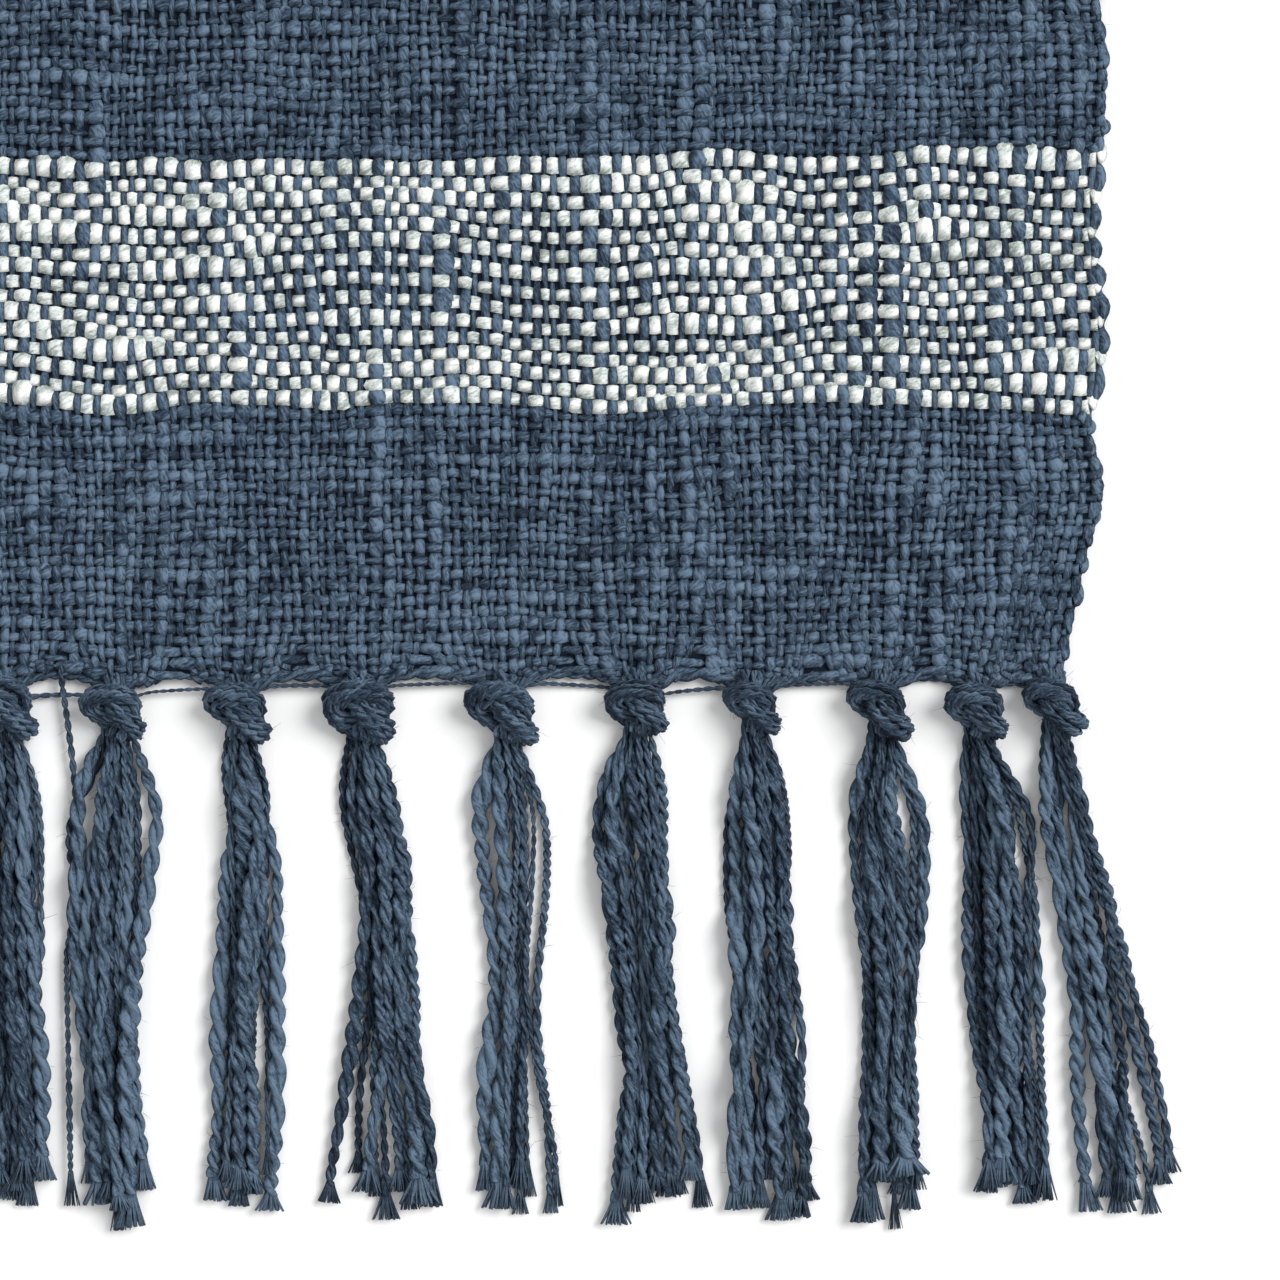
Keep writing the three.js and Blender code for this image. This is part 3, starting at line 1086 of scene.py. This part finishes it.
def tassel_strands(rng, lean, strands, steps, stray):
    """Centrelines and radii of a tassel's strands, from its root at the origin down along -Y."""
    s = np.linspace(-0.035, 1, steps)
    down = np.clip(s, 0, 1)
    kind = rng.choice(STRAND_HALF_WIDTHS, strands, p=STRAND_SHARES)
    radius = kind[:, None] * (1 + 0.10 * soft_noise(rng, (strands, steps), 3))
    radius = radius + 0.75 * slubs(rng, strands, steps, 0.02, (1.5, 4.0), (0.3, 1.0))
    radius = radius - (radius - 0.85) * np.exp(-((down / 0.06) ** 2))
    spot = np.arange(strands)
    disc = np.sqrt((spot + 0.5) / strands)
    golden_angle = 2.399963
    angle = spot * golden_angle + rng.uniform(0, 6)
    u = disc * np.cos(angle)
    v = disc * np.sin(angle)
    belly = 3.4 + 4.7 * np.clip(down / 0.16, 0, 1) ** 0.7
    belly = belly - rng.uniform(0.6, 2.4) * np.exp(-(((down - rng.uniform(0.5, 0.7)) / 0.2) ** 2))
    belly = belly * (1 + 0.12 * soft_noise(rng, (steps,), 12))
    wander = 0.34 * soft_noise(rng, (strands, steps), 9) * np.clip(down * 5, 0, 1)
    sway = lean * (1 - (1 - down) ** 1.5) + 1.3 * soft_noise(rng, (steps,), 16) * np.clip(down * 4, 0, 1)
    x = sway + belly * (u[:, None] + wander)
    if stray and stray[1] > 0:
        x[-1] = sway + stray[0] * np.clip(down / stray[1], 0, 1) ** 1.5
    high = 5.2 - 3.2 * np.clip(down / 0.14, 0, 1)
    z = high + (3.0 - 1.0 * down) * v[:, None] + 0.5 * soft_noise(rng, (strands, steps), 8)
    x, z = packed(x, np.maximum(z, radius), radius)
    x = smooth(x, 1.0, 1)
    z = smooth(z, 1.0, 1)
    length = TASSEL_LENGTH + rng.uniform(-8, 5, strands)[:, None]
    y = -s * length
    if stray and stray[1] == 0:
        x[-1], y[-1], z[-1] = loose_from_cord(stray[0], down, y[-1])
    return np.stack([x, y, z], -1), radius


def loose_from_cord(offset, down, y):
    """A strand that missed the knot: it leaves the end cord beside it and hangs along the tassel."""
    x = offset * (1.25 - 0.3 * np.sin(np.pi * np.clip(down / 0.5, 0, 1)) - 0.2 * down)
    lifted = 13.5 * np.clip(1 - down / 0.3, 0, 1)
    return x, y + lifted, 2.2 + 0.8 * np.clip(1 - down * 5, 0, 1)


def fine_path(path, steps):
    """The same paths with evenly spaced rings."""
    places = np.linspace(0, path.shape[1] - 1, steps)
    low = np.minimum(places.astype(int), path.shape[1] - 2)
    share = (places - low)[:, None]
    before = path[:, np.maximum(low - 1, 0)]
    a, b = path[:, low], path[:, low + 1]
    after = path[:, np.minimum(low + 2, path.shape[1] - 1)]
    return 0.5 * (
        2 * a
        + (b - before) * share
        + (2 * before - 5 * a + 4 * b - after) * share**2
        + (3 * a - before - 3 * b + after) * share**3
    )


def tassel(end, number, sign, lean, photographed, rng):
    """One tassel: two-ply strands, each ending in a frayed brush."""
    name = f"{end}_tassel_{number:02d}"
    root = joint_place(f"{name}_swing")
    strands = int(rng.integers(9, 13))
    stray = STRAYS.get(number) if end == "front" else None
    path, radius = tassel_strands(rng, lean, strands, 48, stray)
    rings, sides, fibres = (180, 6, 420) if photographed else (110, 4, 60)
    path = fine_path(path, rings)
    radius = fine_path(radius[..., None], rings)[..., 0]
    pitch = 7.6 * radius**0.8 * rng.uniform(0.85, 1.2, (strands, 1))
    pitch = pitch * np.exp(0.22 * soft_noise(rng, pitch.shape, rings / 24))
    tone = np.clip(0.40 + 0.15 * rng.standard_normal((strands, 1)) + 0.16 * (radius - 1.1), 0, 1)
    tubes = Tubes()
    path = placed(path, root, sign)
    two_ply(tubes, path, radius, pitch, rng.uniform(0, 6, (strands, 1)), tone, sides)
    brushes(tubes, rng, path, radius, tone, photographed)
    strand = rng.integers(0, strands, fibres)
    ring = rng.integers(rings // 12, rings, len(strand))
    out = unit(rng.standard_normal((len(strand), 3)) * [1, 0.5, 0.6])
    fuzz(tubes, rng, path[strand, ring] + out * radius[strand, ring][:, None], out, 0.62)
    obj = tubes.build(f"{name}_strands", BLUE)
    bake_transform(obj)
    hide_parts(name)
    return obj


def placed(path, root, sign):
    """Turns a tassel drawn along -Y to its end of the rug, and puts it at its root."""
    turned = path * [-sign, -sign, 1]
    return turned + [root[0], root[1], 0]


def brushes(tubes, rng, path, radius, tone, photographed):
    """The cut ends: each strand opens into a short brush of fibres."""
    tufts = 24 if photographed else 6
    tip, before = path[:, -1], path[:, -8]
    along = unit(tip - before)
    side = unit(np.cross([0, 0, 1.0], along))
    share = np.linspace(0, 1, 5)
    length = rng.uniform(4.5, 9.5, (len(tip), 1))
    for k in range(tufts):
        angle = 2 * np.pi * k / tufts + rng.uniform(-0.3, 0.3, (len(tip), 1))
        spread = (0.3 + rng.uniform(0.1, 1.35, (len(tip), 1)) * share**1.2) * (0.7 + radius[:, -1:])
        wide = (side[:, None] * (np.cos(angle) * spread)[..., None]) + (
            np.array([0, 0, 1.0]) * (0.55 * np.sin(angle) * spread)[..., None]
        )
        line = tip[:, None] - along[:, None] * 1.0 + along[:, None] * (length * share)[..., None] + wide
        line[..., 2] = np.maximum(line[..., 2], 0.3)
        thick = radius[:, -1:] * (0.28 if photographed else 0.38) * (1 - 0.5 * share)
        tubes.add(line, thick, thick, tone[:, -1:] + 0.18, 4)


def all_tassels():
    """A tassel for each CAD tassel, leaning the way that one leans."""
    made = []
    for sign, end in ((-1, "front"), (1, "back")):
        for number in range(1, TASSELS + 1):
            rng = np.random.default_rng(SEED + 100 * number + (5 if sign > 0 else 0))
            low, high = cad_box(f"{end}_tassel_{number:02d}")
            root = joint_place(f"{end}_tassel_{number:02d}_swing")
            outward = (low[0] + high[0]) / 2 - root[0]
            lean = -sign * outward * 1.5
            photographed = end == "front" and root[0] > NEAR_TASSEL_X
            made.append(tassel(end, number, sign, lean, photographed, rng))
    return made


# ---- the object ----


def build_rug():
    """Makes every yarn piece and the two near-black sheets of painted shade that they go with."""
    weave = make_weave()
    yarns = weft_pieces(weave) + warp_pieces(weave) + selvedge_pieces(weave)
    shape = knot_shape()
    for sign in (-1, 1):
        places = knots_of_end(sign)[:: -sign]
        knot_row(sign, shape, 1, places[:5], places[:5])
        knot_row(sign, shape, 2, places[4:10], places[5:10])
        knot_row(sign, shape, 3, places[9:], places[10:])
    tassels = all_tassels()
    for sign in (-1, 1):
        # Near-black sheets inside the weave: painted shade between the yarns.
        shade_layer = painted_shade_sheet(weave, sign)


def floor():
    """A wide pale floor, just under the lowest yarns."""
    half = 14.0
    level = -0.2 * MM
    mesh = bpy.data.meshes.new("floor")
    corners = [(-half, -half, level), (half, -half, level), (half, half, level), (-half, half, level)]
    mesh.from_pydata(corners, [], [(0, 1, 2, 3)])
    white = Surface("white_floor", Roughness=0.9)
    noise = white.node("ShaderNodeTexNoise", Scale=8.0)
    shade = white.ramp(noise.outputs[0], (0.0, (0.88, 0.88, 0.88)), (1.0, (0.92, 0.92, 0.92)))
    white.link(shade, white.shader.inputs["Base Color"])
    mesh.materials.append(white.material)
    added("floor", mesh)


def studio():
    """Soft light from the upper right and a bright surround, as in the photograph."""
    world = bpy.data.worlds.new("studio")
    bpy.context.scene.world = world
    world.use_nodes = True
    world.node_tree.nodes["Background"].inputs[0].default_value = (1, 1, 1, 1)
    world.node_tree.nodes["Background"].inputs[1].default_value = 0.70
    lamp = bpy.data.lights.new("key", "SUN")
    lamp.energy = 2.7
    lamp.angle = math.radians(34)
    key = added("key", lamp)
    key.rotation_euler = Vector((0.85, 0.50, 1.0)).to_track_quat("Z", "Y").to_euler()
    bpy.context.scene.view_settings.view_transform = "Standard"


def camera():
    """Straight down on the front right corner, from far off, as in the photograph."""
    data = bpy.data.cameras.new("camera")
    data.lens = 100
    data.sensor_width = 36
    frame_width = 320.0
    distance = frame_width * data.lens / data.sensor_width
    in_from_edge, in_from_end = 116.25, 10.0
    obj = added("camera", data)
    centre = Vector((SELVEDGE_X - in_from_edge, in_from_end - CLOTH_END, distance + CLOTH_MID))
    obj.location = centre * MM
    bpy.context.scene.camera = obj


build_rug()
floor()
studio()
camera()
